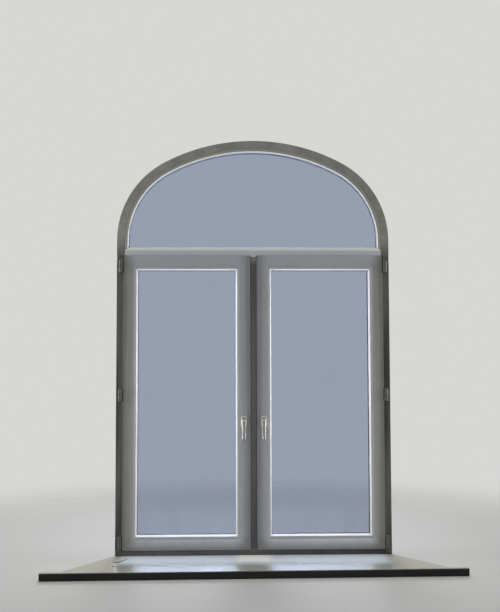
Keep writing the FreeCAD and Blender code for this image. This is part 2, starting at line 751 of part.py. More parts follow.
def make_hinge(side, hand, name, level, bearing):
    """A hinge: barrel on the frame face and arm to the sash edge.

    Level is the barrel's middle. Bearing is -1 for a corner block under the
    barrel, 1 for one above it and 0 for none.
    """
    body = new_body(f"{side}_{name}_hinge")
    towards = -hand
    half = "(hinge_width / 2)"
    nose = f"(-hinge_axis - {half})"
    barrel = new_sketch(body, "XY_Plane", "-hinge_height / 2")
    outline(barrel, [
        (f"-{half}", "0"), (f"-{half}", nose, "hinge_nose"),
        (half, nose, "hinge_nose"), (half, "0"),
    ])
    pad(body, barrel, "hinge_height")
    end = value("hinge_height") / 2
    dress_edges(body, "Chamfer", "hinge_bevel", lambda box: (
        abs(abs(box.ZMax) - end) < CLOSE and box.ZLength < CLOSE and box.YMin < -CLOSE
    ))
    arm = new_sketch(body, "XY_Plane", "-arm_height / 2")
    reach = f"{towards} * ({half} + hinge_gap)"
    near = f"{towards} * {half} / 2"
    flange = "(sash_round - sash_proud)"
    outline(arm, [
        (near, flange), (reach, flange), (reach, "-running_gap"), (near, "-running_gap"),
    ])
    pad(body, arm, "arm_height")
    if bearing:
        block = new_sketch(body, "XY_Plane", f"{bearing} * (hinge_height / 2 - hinge_bevel)")
        inner, outer = f"{towards} * {half}", f"{towards} * ({half} - bearing_width)"
        front, cheek = "(-bearing_depth)", "(edge_bevel - bearing_depth)"
        outline(block, [
            (inner, "0"), (outer, "0"), (outer, cheek),
            (f"({outer} + {towards} * edge_bevel)", front),
            (f"({inner} - {towards} * edge_bevel)", front), (inner, cheek),
        ])
        pad(body, block, "(bearing_height + hinge_bevel)", backwards=bearing < 0)
    place(body, f"{hand} * ({SASH_LEFT} + hinge_gap + {half})", INSIDE, level)


def make_hinges(side, hand):
    make_hinge(side, hand, "top", f"({SASH_TOP} - top_hinge_inset)", 1)
    make_hinge(side, hand, "middle", "middle_hinge_level", 0)
    make_hinge(side, hand, "bottom", f"({SASH_FOOT} + bottom_hinge_inset)", -1)


def make_window_board():
    """Inner board: splayed between its horns, with a deeper rounded front lip."""
    body = new_body("window_board")
    plan = new_sketch(body, "XY_Plane")
    half, splay = "(board_width / 2)", "(board_splay_width / 2)"
    fronts = [f"(-board_depth_{end})" for end in ("left", "right")]
    shoulders = [f"({front} + horn_depth)" for front in fronts]
    outline(plan, [
        (f"-{HALF_WIDTH}", "0"), (f"-{splay}", shoulders[0]), (f"-{half}", shoulders[0]),
        (f"-{half}", fronts[0]), (half, fronts[1]), (half, shoulders[1]),
        (splay, shoulders[1]), (HALF_WIDTH, "0"),
    ])
    pad(body, plan, "board_thickness", backwards=True)
    lip = new_sketch(body, "XY_Plane")
    behind = [f"({front} + nosing_width)" for front in fronts]
    outline(lip, [
        (f"-{half}", behind[0]), (f"-{half}", fronts[0]), (half, fronts[1]), (half, behind[1]),
    ])
    pad(body, lip, "board_height", backwards=True)

    front = -max(value("board_depth_left"), value("board_depth_right"))
    dress_edges(
        body, "Fillet", "nosing_round",
        lambda box: box.XLength > value("nosing_width") and abs(box.YMin - front) < CLOSE,
    )
    place(body, "0", INSIDE, "board_height")


def make_drain_caps():
    """Hoods over the drainage slots, on the outside face of the bottom rail."""
    half = "(drain_cap_height / 2)"
    outer = f"({HALF_WIDTH} - drain_inset)"
    caps = []
    for i, x in enumerate((f"-{outer}", "-drain_inset", "drain_inset", outer)):
        cap = new_body(f"drain_cap_{i}")
        side = new_sketch(cap, "YZ_Plane", "-drain_cap_width / 2")
        outline(side, [
            ("0", f"-{half}"), ("drain_cap_thickness", f"-{half}"),
            ("drain_cap_thickness", f"({half} - drain_cap_slope)"), ("0", half),
        ])
        pad(cap, side, "drain_cap_width")
        place(cap, x, OUTSIDE, "(base_height + frame_body / 2)")
        caps.append(cap)
    group("drain_caps", caps)


make_frame()
make_fanlight()
for side, hand in (("left", -1), ("right", 1)):
    make_sash(side, hand)
    make_handle(side, hand)
    make_hinges(side, hand)
make_window_board()
make_drain_caps()
doc.recompute()

grouped = {link for item in doc.Objects if item.TypeId == "Part::Compound" for link in item.Links}
nodes = [
    item for item in doc.Objects
    if item.TypeId in ("PartDesign::Body", "Part::Compound") and item not in grouped
]
for item in doc.Objects:
    if "Invalid" in item.State or "Error" in item.State:
        raise RuntimeError(f"{item.Label} ({item.Name}) failed: {item.State}")
for node in nodes:
    if node.Shape.isNull() or not node.Shape.isValid():
        raise RuntimeError(f"{node.Label} has no valid shape")

os.makedirs("parts", exist_ok=True)
for node in nodes:
    node.Shape.exportStep(f"parts/{node.Label}.step")
    print(node.Label, len(node.Shape.Solids), round(node.Shape.Volume / 1000, 1), "cm3")
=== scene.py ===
"""Looks for the arched top window.

Metres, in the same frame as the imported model: x runs across the window, +y to the outside and
+z up. The model's nodes get procedural materials here, and a few pieces are added that are too
small, thin or loose for a solid.
"""

import math
import random

import bmesh
import bpy
from mathutils import Matrix, Vector

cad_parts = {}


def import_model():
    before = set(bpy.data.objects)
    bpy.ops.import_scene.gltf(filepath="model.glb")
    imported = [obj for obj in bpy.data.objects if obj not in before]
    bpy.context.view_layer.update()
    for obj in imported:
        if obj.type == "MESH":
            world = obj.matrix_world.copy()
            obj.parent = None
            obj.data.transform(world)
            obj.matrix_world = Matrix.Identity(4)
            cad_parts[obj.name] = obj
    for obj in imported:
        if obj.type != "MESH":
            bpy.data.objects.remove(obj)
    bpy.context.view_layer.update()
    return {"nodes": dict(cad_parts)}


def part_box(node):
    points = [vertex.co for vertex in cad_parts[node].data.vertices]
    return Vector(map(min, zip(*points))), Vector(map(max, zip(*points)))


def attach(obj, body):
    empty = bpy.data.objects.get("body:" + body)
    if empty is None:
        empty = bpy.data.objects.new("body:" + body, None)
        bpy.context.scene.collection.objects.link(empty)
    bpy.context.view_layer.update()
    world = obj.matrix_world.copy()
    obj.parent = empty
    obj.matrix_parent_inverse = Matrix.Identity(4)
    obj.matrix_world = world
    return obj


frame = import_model()
nodes = frame["nodes"]
scene = bpy.context.scene


# Places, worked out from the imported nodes

X, Y, Z = range(3)


def low(name, axis):
    """Where a node begins along an axis, to the micrometre."""
    return round(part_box(name)[0][axis], 6)


def high(name, axis):
    """Where a node ends along an axis, to the micrometre."""
    return round(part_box(name)[1][axis], 6)


def middle(name, axis):
    """Where the middle of a node lies along an axis."""
    return (low(name, axis) + high(name, axis)) / 2


INSIDE_FACE = low("right_jamb", Y)
FRAME_BACK = high("right_jamb", Y)
SPRING_LEVEL = high("right_jamb", Z)
TRANSOM_LEVEL = middle("transom", Z)

SASH_FACE = low("right_sash_hinge_stile", Y)
SASH_BACK = high("right_sash_hinge_stile", Y)
SASH_FOOT = low("right_sash_hinge_stile", Z)
SASH_TOP = high("right_sash_hinge_stile", Z)
SASH_EDGE = high("right_sash_hinge_stile", X)
MEETING_EDGE = low("right_sash_lock_stile", X)

HANDLE_X = middle("right_handle_rosette", X)
HANDLE_LEVEL = middle("right_handle_rosette", Z)
ROSETTE_FRONT = low("right_handle_rosette", Y)
GRIP_FRONT = low("right_handle_lever", Y)
COLLAR_HEIGHT = 0.0031
COLLAR_FRONT = ROSETTE_FRONT - COLLAR_HEIGHT

BARREL_HALF = 0.010  # half the width of a hinge barrel
BARREL_NOSE = 0.008  # rounding of its front
HINGE_X = high("right_middle_hinge", X) - BARREL_HALF
HINGE_AXIS_Y = low("right_middle_hinge", Y) + BARREL_HALF
BARREL_RISE = (high("right_middle_hinge", Z) - low("right_middle_hinge", Z)) / 2
HINGE_LEVELS = {
    "top": low("right_top_hinge", Z) + BARREL_RISE,
    "middle": middle("right_middle_hinge", Z),
    "bottom": high("right_bottom_hinge", Z) - BARREL_RISE,
}

BOARD_TOP = high("window_board", Z)


# Materials

class Value:
    """A number that changes over a surface. Sums of such numbers are written as sums."""

    def __init__(self, recipe, socket):
        self.recipe = recipe
        self.socket = socket

    def __add__(self, other):
        return self.recipe.calc("ADD", self, other)

    def __sub__(self, other):
        return self.recipe.calc("SUBTRACT", self, other)

    def __rsub__(self, other):
        return self.recipe.calc("SUBTRACT", other, self)

    def __mul__(self, other):
        return self.recipe.calc("MULTIPLY", self, other)

    def __abs__(self):
        return self.recipe.calc("ABSOLUTE", self)


class Recipe:
    """The node tree of a material or world, written one node at a time.

    Its x, y and z are places in the window's own metres or, for a world, the way outwards.
    """

    def __init__(self, owner, coordinates="Object"):
        owner.use_nodes = True
        self.owner = owner
        self.tree = owner.node_tree
        self.shader = self.tree.nodes.get("Principled BSDF")
        self.place = self.node("ShaderNodeTexCoord").outputs[coordinates]
        split = self.node("ShaderNodeSeparateXYZ", Vector=self.place)
        self.x, self.y, self.z = (Value(self, socket) for socket in split.outputs)

    def node(self, kind, settings=None, **sockets):
        """A new node, with its settings and what goes into its sockets."""
        made = self.tree.nodes.new(kind)
        for key, setting in (settings or {}).items():
            setattr(made, key, setting)
        for key, value in sockets.items():
            self.feed(made.inputs[key.replace("_", " ")], value)
        return made

    def value(self, kind, output, settings=None, **sockets):
        """One output of a new node."""
        return Value(self, self.node(kind, settings, **sockets).outputs[output])

    def feed(self, socket, value):
        """Link a value or a node's output to a socket, or set it to a number or a colour."""
        if isinstance(value, Value):
            value = value.socket
        if isinstance(value, bpy.types.NodeSocket):
            self.tree.links.new(value, socket)
        elif socket.type == "RGBA":
            socket.default_value = (*value, 1.0)
        else:
            socket.default_value = value

    def calc(self, kind, *numbers):
        """The result of one math node."""
        made = self.node("ShaderNodeMath", {"operation": kind})
        for socket, number in zip(made.inputs, numbers):
            self.feed(socket, number)
        return Value(self, made.outputs[0])

    def least(self, first, second):
        return self.calc("MINIMUM", first, second)

    def most(self, first, *others):
        for other in others:
            first = self.calc("MAXIMUM", first, other)
        return first

    def noise(self, scale, detail=2, stretch=(1, 1, 1), roughness=0.5):
        """Clouds from 0 to 1, more of them in a metre by a higher scale or stretch."""
        scaled = self.node("ShaderNodeMapping", Vector=self.place, Scale=stretch)
        return self.value(
            "ShaderNodeTexNoise", "Fac", Vector=scaled.outputs["Vector"], Scale=scale,
            Detail=detail, Roughness=roughness,
        )

    def ramp(self, value, span, start, end):
        """From start to end, smoothly, while a value goes through its span."""
        made = self.node("ShaderNodeMapRange", {"interpolation_type": "SMOOTHSTEP"})
        for socket, number in zip(made.inputs, (value, *span, start, end)):
            self.feed(socket, number)
        return Value(self, made.outputs[0])

    def rise(self, value, span, most=1.0):
        """From nothing to the most, while a value goes through its span."""
        return self.ramp(value, span, 0.0, most)

    def fall(self, value, span, most=1.0):
        """From the most to nothing, while a value goes through its span."""
        return self.ramp(value, span, most, 0.0)

    def blend(self, share, first, second):
        """The first colour, with a share of the second over it."""
        made = self.node("ShaderNodeMix", {"data_type": "RGBA"})
        self.feed(made.inputs["Factor"], share)
        colours = [socket for socket in made.inputs if socket.type == "RGBA"]
        self.feed(colours[0], first)
        self.feed(colours[1], second)
        return [socket for socket in made.outputs if socket.type == "RGBA"][0]

    def set(self, **sockets):
        """Say what goes into the sockets of the surface's shader."""
        for key, value in sockets.items():
            self.feed(self.shader.inputs[key.replace("_", " ")], value)

    def bump(self, height, distance):
        """Roughen the surface by a height, which a distance in metres scales."""
        made = self.node("ShaderNodeBump", Height=height, Distance=distance, Strength=0.6)
        self.set(Normal=made.outputs["Normal"])


def new_paint(name):
    """The recipe of a new material, to be filled in."""
    return Recipe(bpy.data.materials.new(name))


WHITE = (0.79, 0.795, 0.80)
AGED = (0.69, 0.69, 0.67)
WEATHERED = (0.54, 0.545, 0.54)
# Olive tones of a painted shade on the frame's inside, above the transom and round the arch.
OLIVE = (0.25, 0.25, 0.215)
DARK_OLIVE = (0.11, 0.11, 0.095)
# Grime, also used for painted shade; a bluer mix of grime and painted shade; and the near-black
# painted shade along the sashes' rims.
GRIME_AND_SHADE = (0.17, 0.165, 0.145)
BLUE_GRIME_AND_SHADE = (0.185, 0.19, 0.205)
RIM_TONE = (0.045, 0.045, 0.042)

# Inside tones of the sashes: the white plastic made darker, bluer and more olive by place, as
# painted light and shade.
LOW_RAIL_TONE = (0.69, 0.705, 0.74)
LIT_RAIL_TONE = (0.79, 0.80, 0.82)
HIGH_RAIL_TONE = (0.44, 0.468, 0.504)
LOCK_TONE = (0.53, 0.55, 0.59)
HINGE_TONE = (0.46, 0.46, 0.43)
STILE_SHADE_TONE = (0.08, 0.08, 0.08)

CLOUDS = (0.35, 0.7)  # the span of a cloudy noise between one tone and another

# Where the tones of a sash pass into one another, and where its dirt and painted shade end, from
# and to
LOCK_TO_HINGE = (0.25, 0.5)  # outwards from the middle of the window
SHADED_TO_LIT_RAIL = (0.2, 0.4)  # to the right along the bottom rails
LOW_TO_HIGH_RAIL = (0.4, 1.4)  # upwards
LIT_TO_SHADED_STILE = (0.6, 1.5)  # upwards
MITRE = (-0.035, 0.035)  # from rail to stile across a corner
SOIL_AND_SHADE = (-0.010, 0.078)  # inwards from the sides and the foot
SOIL_AND_SHADE_WANDER = 0.03
CORNER_RISE = (0.02, 0.10)  # upwards from the foot
CORNER_WIDTH = (0.03, 0.10)  # inwards from the sides
RIM = (0.0018, 0.0032)  # inwards from every edge
JAMB_RIM = (0.0035, 0.0065)  # inwards from the edge beside the jamb


def sash_tone(paint, patch):
    """A sash's inside tone, olive by the hinges and bluer elsewhere, and its dark rim: painted
    light and shade, with some dirt by the sides and foot.
    """
    across = abs(paint.x)
    beside = paint.least(SASH_EDGE - across, across - MEETING_EDGE)
    foot = paint.z - SASH_FOOT
    level = paint.least(foot, SASH_TOP - paint.z)
    by_hinge = paint.rise(across, LOCK_TO_HINGE)

    low_rail = paint.blend(paint.rise(paint.x, SHADED_TO_LIT_RAIL), LOW_RAIL_TONE, LIT_RAIL_TONE)
    rail = paint.blend(paint.rise(paint.z, LOW_TO_HIGH_RAIL), low_rail, HIGH_RAIL_TONE)
    stile = paint.blend(by_hinge, LOCK_TONE, HINGE_TONE)
    # Stiles darker towards the top: painted shade.
    shaded_high = paint.rise(paint.z, LIT_TO_SHADED_STILE, most=0.15)
    stile = paint.blend(shaded_high, stile, STILE_SHADE_TONE)
    colour = paint.blend(paint.rise(level - beside, MITRE), rail, stile)

    # Darker towards the sides and the foot: painted shade, with some dirt.
    near = paint.least(beside, foot) + (patch - 0.5) * SOIL_AND_SHADE_WANDER
    soil_and_shade = paint.fall(near, SOIL_AND_SHADE, most=0.92)
    colour = paint.blend(soil_and_shade, colour, paint.blend(by_hinge, BLUE_GRIME_AND_SHADE, GRIME_AND_SHADE))
    # Darker in the bottom corners: painted shade, with some grime.
    corner = paint.fall(foot, CORNER_RISE) * paint.fall(beside, CORNER_WIDTH, most=0.6)
    colour = paint.blend(corner, colour, GRIME_AND_SHADE)

    # A near-black rim along every edge, wider beside the jamb: a painted shade of the gaps, which
    # also dulls the gloss.
    rim = paint.fall(paint.least(beside, level), RIM, most=0.95)
    jamb_rim = paint.fall(SASH_EDGE - across, JAMB_RIM, most=0.9)
    rim = paint.most(rim, jamb_rim)
    return paint.blend(rim, colour, RIM_TONE), rim


def along(run, scale):
    """Scales for noise that is drawn out along a bar's run."""
    return [scale if axis == run else 1.0 for axis in (X, Y, Z)]


# Depths at which a profile's tones change
INSIDE_END = (INSIDE_FACE + 0.004, INSIDE_FACE + 0.03)
SIDES_START = (-0.012, 0.0)
OUTSIDE_START = (0.010, 0.016)
SIDES_END = (-0.005, -0.0008)  # from the profile's outside face
BEAD_FRONT = (0.0006, 0.0030)  # from the bead's front

# Heights at which they change
LOW_DIRT = (0.03, 0.42)
JOINT_TOP = (TRANSOM_LEVEL - 0.06, TRANSOM_LEVEL)
OLIVE_SHADE_START = (TRANSOM_LEVEL, SPRING_LEVEL)


def shifted(span, start):
    """A span that is counted from a start."""
    return [start + end for end in span]


def weather_and_shade(paint, colour, patch, outside, edge):
    """Grey the outside face of a profile, and give the narrow sides that lead to it the edge
    colour: dirt with painted shade, unless another is given.
    """
    weathered = paint.rise(paint.y, OUTSIDE_START, most=0.9)
    colour = paint.blend(weathered, colour, WEATHERED)
    sides = paint.rise(paint.y, SIDES_START) * paint.fall(paint.y, shifted(SIDES_END, outside))
    share = sides * paint.ramp(patch, (0.3, 0.7), 0.78, 0.95)
    return paint.blend(share, colour, edge)


def darken_joint(paint, colour, inside, run, strip):
    """Darken the frame's inside face beside the sashes, and turn it olive above the transom, both
    as painted shade.
    """
    beside = paint.fall(paint.z, JOINT_TOP)
    above = inside * (1.0 - beside) * 0.9
    olive_shade = paint.blend(paint.rise(paint.z, OLIVE_SHADE_START), DARK_OLIVE, OLIVE)
    colour = paint.blend(above, colour, olive_shade)
    streaks = paint.noise(scale=9, detail=4, stretch=along(run, 0.14))
    share = inside * beside * paint.ramp(streaks, (0.35, 0.65), 0.86, 0.98)
    return paint.blend(share, colour, strip), share


def plastic(name, run, white=WHITE, aged=AGED, dirt=0.5, olive_shade=0.0, strip=None, outside=None,
            edge=GRIME_AND_SHADE, face=None, sash=False):
    """White extruded plastic.

    Run is the axis along which the bars lie, or None round a bend. Dirt is how much grime
    lies low on the window, and veil how much of the inside is turned olive, a painted shade.
    Strip is the colour of the frame's face in the joint beside a sash, a painted shade. Outside
    is the depth of the profile's outside face, and edge the colour of the narrow sides between
    it and the glass: dirt with painted shade by default, and a painted bluish light on the arch.
    Face is a bead's front: its depth and its colour, a painted shade where that isn't as bright
    as the slope behind, and a painted light on the ledge bead.
    """
    paint = new_paint(name)
    cloud = paint.noise(scale=1.7, detail=4, roughness=0.6)
    patch = paint.noise(scale=9, detail=6, roughness=0.7)
    grain = paint.noise(scale=60 if run is None else 90, detail=3, stretch=along(run, 0.014))
    inside = paint.fall(paint.y, INSIDE_END)

    colour = paint.blend(paint.rise(cloud, CLOUDS, most=0.75), white, aged)
    # Painted light and shade on a sash's inside face.
    if sash:
        inside_tone, rim = sash_tone(paint, patch)
        colour = paint.blend(inside, colour, inside_tone)
    # Olive painted shade on the inside face.
    if olive_shade:
        share = inside * paint.ramp(patch, (0.2, 0.75), 0.65 * olive_shade, olive_shade)
        colour = paint.blend(share, colour, OLIVE)
    scuffs = paint.rise(grain, (0.45, 0.75), most=0.15)
    colour = paint.blend(scuffs, colour, aged)

    # The narrow sides by the glass take the edge colour: dirt with painted shade by default.
    if outside is not None:
        colour = weather_and_shade(paint, colour, patch, outside, edge)
    by_height = paint.ramp(paint.z, LOW_DIRT, 1.0, 0.12)
    dirt_and_joint_shade = by_height * paint.rise(patch, (0.48, 0.72), most=dirt)
    colour = paint.blend(dirt_and_joint_shade, colour, GRIME_AND_SHADE)
    # Painted shade on a bead's front, and painted light on the ledge bead's front.
    if face:
        depth, painted_front_tone = face
        front = paint.fall(paint.y, shifted(BEAD_FRONT, depth))
        colour = paint.blend(front, colour, painted_front_tone)
    # Painted shade in the joint beside a sash, and olive painted shade above the transom.
    if strip:
        colour, dirt_and_joint_shade = darken_joint(paint, colour, inside, run, strip)
    specks = paint.rise(paint.noise(scale=210, detail=1), (0.73, 0.8), most=0.5)
    colour = paint.blend(specks, colour, GRIME_AND_SHADE)

    rough = paint.ramp(cloud + dirt_and_joint_shade, (0.3, 1.3), 0.3, 0.62)
    if sash:
        rough = paint.most(rough, rim)
    paint.set(Base_Color=colour, Roughness=rough)
    paint.bump(grain + paint.noise(scale=700) * 0.35, 0.00012)
    return paint.owner


def glass():
    """Clear panes that look grey-blue against the light, with a film of dust."""
    paint = new_paint("window_glass")
    pane = paint.node("ShaderNodeBsdfTransparent", Color=(0.83, 0.855, 0.91))
    gloss = paint.node("ShaderNodeBsdfGlossy", Color=(1, 1, 1), Roughness=0.0)
    film = paint.node("ShaderNodeBsdfDiffuse", Color=(0.55, 0.56, 0.55))
    open_air = paint.node("ShaderNodeBsdfTransparent", Color=(1, 1, 1))
    front = 1.0 - paint.value("ShaderNodeNewGeometry", "Backfacing")
    shine = paint.value("ShaderNodeFresnel", "Fac", IOR=1.5) * front
    dust = paint.noise(scale=6, detail=6, stretch=(1, 1, 0.45), roughness=0.7)
    dust = paint.ramp(dust, (0.5, 0.8), 0.004, 0.03)
    lamp_light = paint.value("ShaderNodeLightPath", "Is Shadow Ray")
    surface = pane.outputs[0]
    for share, layer in ((shine, gloss), (dust, film), (lamp_light, open_air)):
        mix = paint.node("ShaderNodeMixShader", Fac=share)
        paint.feed(mix.inputs[1], surface)
        paint.feed(mix.inputs[2], layer.outputs[0])
        surface = mix.outputs[0]
    paint.feed(paint.tree.nodes["Material Output"].inputs["Surface"], surface)
    paint.tree.nodes.remove(paint.shader)
    return paint.owner


def rubber(name, fresh, faded):
    """Rubber that has gone pale in patches."""
    paint = new_paint(name)
    fade = paint.noise(scale=30, detail=4)
    paint.set(Base_Color=paint.blend(paint.rise(fade, (0.4, 0.7)), fresh, faded))
    paint.set(Roughness=paint.ramp(fade, (0.3, 0.7), 0.5, 0.8))
    paint.bump(paint.noise(scale=900), 0.0001)
    return paint.owner


def aluminium():
    """The brushed metal of the bars between the panes."""
    paint = new_paint("spacer_aluminium")
    brushed = paint.noise(scale=1, stretch=(300, 20, 300))
    paint.set(Base_Color=paint.blend(brushed, (0.72, 0.73, 0.75), (0.84, 0.85, 0.87)), Metallic=1.0)
    paint.set(Roughness=paint.ramp(brushed, (0.3, 0.7), 0.40, 0.55))
    paint.bump(brushed, 0.00005)
    return paint.owner


SHADED_FRONT_DEPTH = (0.0004, 0.0014)  # off a shaded front, where its painted shade ends


def enamel(name, white, dirt_and_shade_tone, dirt, rough, shaded_fronts=()):
    """Powder paint on the fittings. Fronts are the depths of faces that get a painted shade, and
    how much of it each gets.
    """
    paint = new_paint(name)
    cloud = paint.noise(scale=38, detail=4)
    share = paint.rise(cloud, (0.42, 0.72), most=dirt)
    # Painted shade on the fronts.
    for depth, shade_there in shaded_fronts:
        front = paint.fall(abs(paint.y - depth), SHADED_FRONT_DEPTH, most=shade_there)
        share = paint.most(share, front)
    paint.set(Base_Color=paint.blend(share, white, dirt_and_shade_tone))
    paint.set(Roughness=paint.ramp(cloud, (0.3, 0.7), rough, rough + 0.18))
    paint.bump(paint.noise(scale=1500), 0.00008)
    return paint.owner


# Board tones: the bluish rear is a painted skylight, the beige ends a painted reflection of cream
# walls beside the window, and the near-black lip a painted shade.
BOARD_REAR = ((0.62, 0.68, 0.77), (0.56, 0.61, 0.68))
BOARD_CREAM = (0.84, 0.84, 0.815)
BOARD_FRONT = (0.26, 0.26, 0.235)
BOARD_ENDS = ((0.33, 0.318, 0.272), (0.27, 0.257, 0.21))
BOARD_STAIN = (0.27, 0.25, 0.20)
BOARD_LIP = (0.012, 0.012, 0.012)

# Where the board's tones pass into one another: depths, and then distances from its middle
CREAM_START = (-0.225, -0.155)
FRONT_END = (-0.295, -0.185)
LIP_END = (-0.3965, -0.3925)  # at the middle of the window
LIP_SLOPE = 0.01633  # how much further back the lip lies for each metre to the right
MULLION_END = (0.055, 0.125)
ENDS_START = (0.69, 0.77)
RIPPLE = 0.06  # how far the borders wander


def board_paint():
    """Paint on the window board, grey and glossy in front, and duller and beige at the ends,
    where the beige is a painted reflection of the cream walls beside the window.

    Towards the frame it is dull, bluish behind the panes, a painted skylight, and cream behind
    the mullion. The front of its lip is near-black, a painted shade.
    """
    paint = new_paint("board_paint")
    cloud = paint.noise(scale=2.2, detail=5, stretch=(1, 2.5, 1), roughness=0.6)
    across = abs(paint.x)
    ripple = (paint.noise(scale=7, detail=5, stretch=(0.6, 1, 1)) - 0.5) * RIPPLE
    depth = paint.y + ripple

    colour = paint.blend(paint.rise(cloud, CLOUDS), *BOARD_REAR)
    by_mullion = paint.fall(across, MULLION_END)
    cream = by_mullion * paint.rise(depth, CREAM_START)
    colour = paint.blend(cream, colour, BOARD_CREAM)
    front = paint.fall(depth, FRONT_END)
    colour = paint.blend(front, colour, BOARD_FRONT)
    # Beige ends: a painted reflection.
    ends = paint.rise(across + ripple * 0.8, ENDS_START)
    colour = paint.blend(ends, colour, paint.blend(cloud, *BOARD_ENDS))
    stains = paint.noise(scale=11, detail=6, roughness=0.75)
    stain = paint.rise(stains, (0.58, 0.75), most=0.3)
    colour = paint.blend(stain, colour, BOARD_STAIN)
    # Near-black front of the lip: a painted shade.
    lip = paint.fall(paint.y - paint.x * LIP_SLOPE, LIP_END)
    colour = paint.blend(lip, colour, BOARD_LIP)

    gloss = paint.ramp(cloud + stain, (0.35, 1.2), 0.34, 0.45)
    rough = paint.most(gloss, ends * 0.8, lip * 0.7, (1.0 - front) * 0.52, by_mullion * 0.5)
    paint.set(Base_Color=colour, Roughness=rough)
    brush_marks = paint.noise(scale=160, detail=3, stretch=(0.2, 1, 1))
    paint.bump(paint.noise(scale=14) + brush_marks * 0.15, 0.0004)
    return paint.owner


def grit(name, scale, dark, light, depth):
    """Plaster, paint chips and dirt that lie loose on the window; the dark one also stands for the
    painted shade under the flake.
    """
    paint = new_paint(name)
    grains = paint.noise(scale, detail=4)
    paint.set(Base_Color=paint.blend(grains, dark, light), Roughness=0.9)
    paint.bump(grains, depth)
    return paint.owner


finishes = {
    "sash_upright": plastic("sash_upright", Z, outside=SASH_BACK, sash=True),
    "sash_level": plastic("sash_level", X, dirt=0.35, outside=SASH_BACK, sash=True),
    # The beads' fronts are a painted shade beside their brighter slopes; the ledge bead's front is
    # a painted light, and its slope greyer.
    "bead_upright": plastic(
        "bead_upright", Z, (0.80, 0.81, 0.83), (0.76, 0.765, 0.77), dirt=0.1,
        face=(SASH_FACE, LOCK_TONE)),
    "bead_level": plastic(
        "bead_level", X, (0.88, 0.89, 0.91), (0.84, 0.845, 0.85), dirt=0.1,
        face=(SASH_FACE, HIGH_RAIL_TONE)),
    "bead_round": plastic(
        "bead_round", None, (0.86, 0.87, 0.87), WHITE, dirt=0.15,
        face=(INSIDE_FACE, (0.38, 0.38, 0.335))),
    "ledge_bead": plastic(
        "ledge_bead", X, (0.46, 0.47, 0.50), (0.40, 0.41, 0.43), dirt=0.15,
        face=(INSIDE_FACE, (0.90, 0.91, 0.925))),
    # The strips are the dark of a painted shade in the joint beside the sashes.
    "jamb": plastic("jamb", Z, strip=(0.030, 0.029, 0.027), outside=FRAME_BACK),
    "mullion": plastic("mullion", Z, strip=(0.100, 0.101, 0.106), outside=FRAME_BACK),
    "frame_level": plastic("frame_level", X, strip=(0.060, 0.061, 0.068), outside=FRAME_BACK),
    # The transom's bluish grey stands for the light and shade on white plastic: painted light and
    # shade.
    "transom": plastic(
        "transom_plastic", X, (0.64, 0.68, 0.76), (0.59, 0.625, 0.69), outside=FRAME_BACK),
    # The arch's inside is turned olive, a painted shade, and the sides by its glass are a painted
    # bluish light.
    "round": plastic(
        "plastic_round", None, AGED, (0.62, 0.62, 0.57), olive_shade=0.99, outside=FRAME_BACK,
        edge=(0.62, 0.66, 0.74)),
    "glass": glass(),
    "rubber": rubber("seal_rubber", (0.022, 0.022, 0.023), (0.06, 0.058, 0.055)),
    "glazing_rubber": rubber("glazing_rubber", (0.21, 0.215, 0.23), (0.29, 0.295, 0.305)),
    "spacer": aluminium(),
    # The fronts of the grip, collar and rosette are a painted shade.
    "handle": enamel(
        "handle_enamel", (0.60, 0.60, 0.58), (0.33, 0.33, 0.315), dirt=0.45, rough=0.28,
        shaded_fronts=((GRIP_FRONT, 0.95), (COLLAR_FRONT, 0.9), (ROSETTE_FRONT, 0.85))),
    # The hinge caps are near-black, a painted shade.
    "hinge": enamel(
        "hinge_enamel", (0.11, 0.11, 0.105), (0.07, 0.068, 0.062), dirt=0.6, rough=0.62),
    "board": board_paint(),
    "base": plastic(
        "base_plastic", X, (0.55, 0.55, 0.54), (0.45, 0.44, 0.41), dirt=0.6,
        outside=FRAME_BACK),
    "chip": grit("plaster_chip", 900, (0.50, 0.49, 0.45), (0.74, 0.73, 0.69), 0.0003),
    "mark": grit("dark_mark_and_shade", 700, (0.03, 0.028, 0.025), (0.10, 0.09, 0.075), 0.0002),
}

FINISH_WORDS = (
    ("glass", "glass"), ("gasket", "glazing_rubber"), ("seals", "rubber"), ("spacer", "spacer"),
    ("handle", "handle"), ("frame_bottom_rail", "frame_level"), ("stile", "sash_upright"),
    ("rail", "sash_level"), ("hinge", "hinge"), ("upright_beads", "bead_upright"),
    ("cross_beads", "bead_level"), ("arch_bead", "bead_round"), ("bottom_bead", "ledge_bead"),
    ("arch", "round"), ("window_board", "board"), ("base_profile", "base"),
    ("transom", "transom"), ("jamb", "jamb"), ("mullion", "mullion"),
    ("drain_caps", "frame_level"),
)


def finish_of(name):
    """A node's finish, from the first of the words that its name has."""
    return next(finish for word, finish in FINISH_WORDS if word in name)


WELD_REACH = 0.00001
SHARP_ANGLE = math.radians(32)
UNSOFTENED = ("glass", "rubber", "glazing_rubber", "spacer")


def soften(node, width, steps):
    """Break a node's sharp edges, so that they catch the light and its joints show."""
    weld = node.modifiers.new("weld", "WELD")
    weld.merge_threshold = WELD_REACH
    edges = node.modifiers.new("edges", "BEVEL")
    edges.limit_method = "ANGLE"
    edges.angle_limit = SHARP_ANGLE
    edges.width = width
    edges.segments = steps
    normals = node.modifiers.new("normals", "WEIGHTED_NORMAL")
    normals.keep_sharp = True


for name, node in nodes.items():
    finish = finish_of(name)
    for slot in node.material_slots:
        slot.material = finishes[finish]
    if finish == "handle":
        soften(node, width=0.0012, steps=3)
    elif finish not in UNSOFTENED:
        soften(node, width=0.0005, steps=2)


# Small pieces

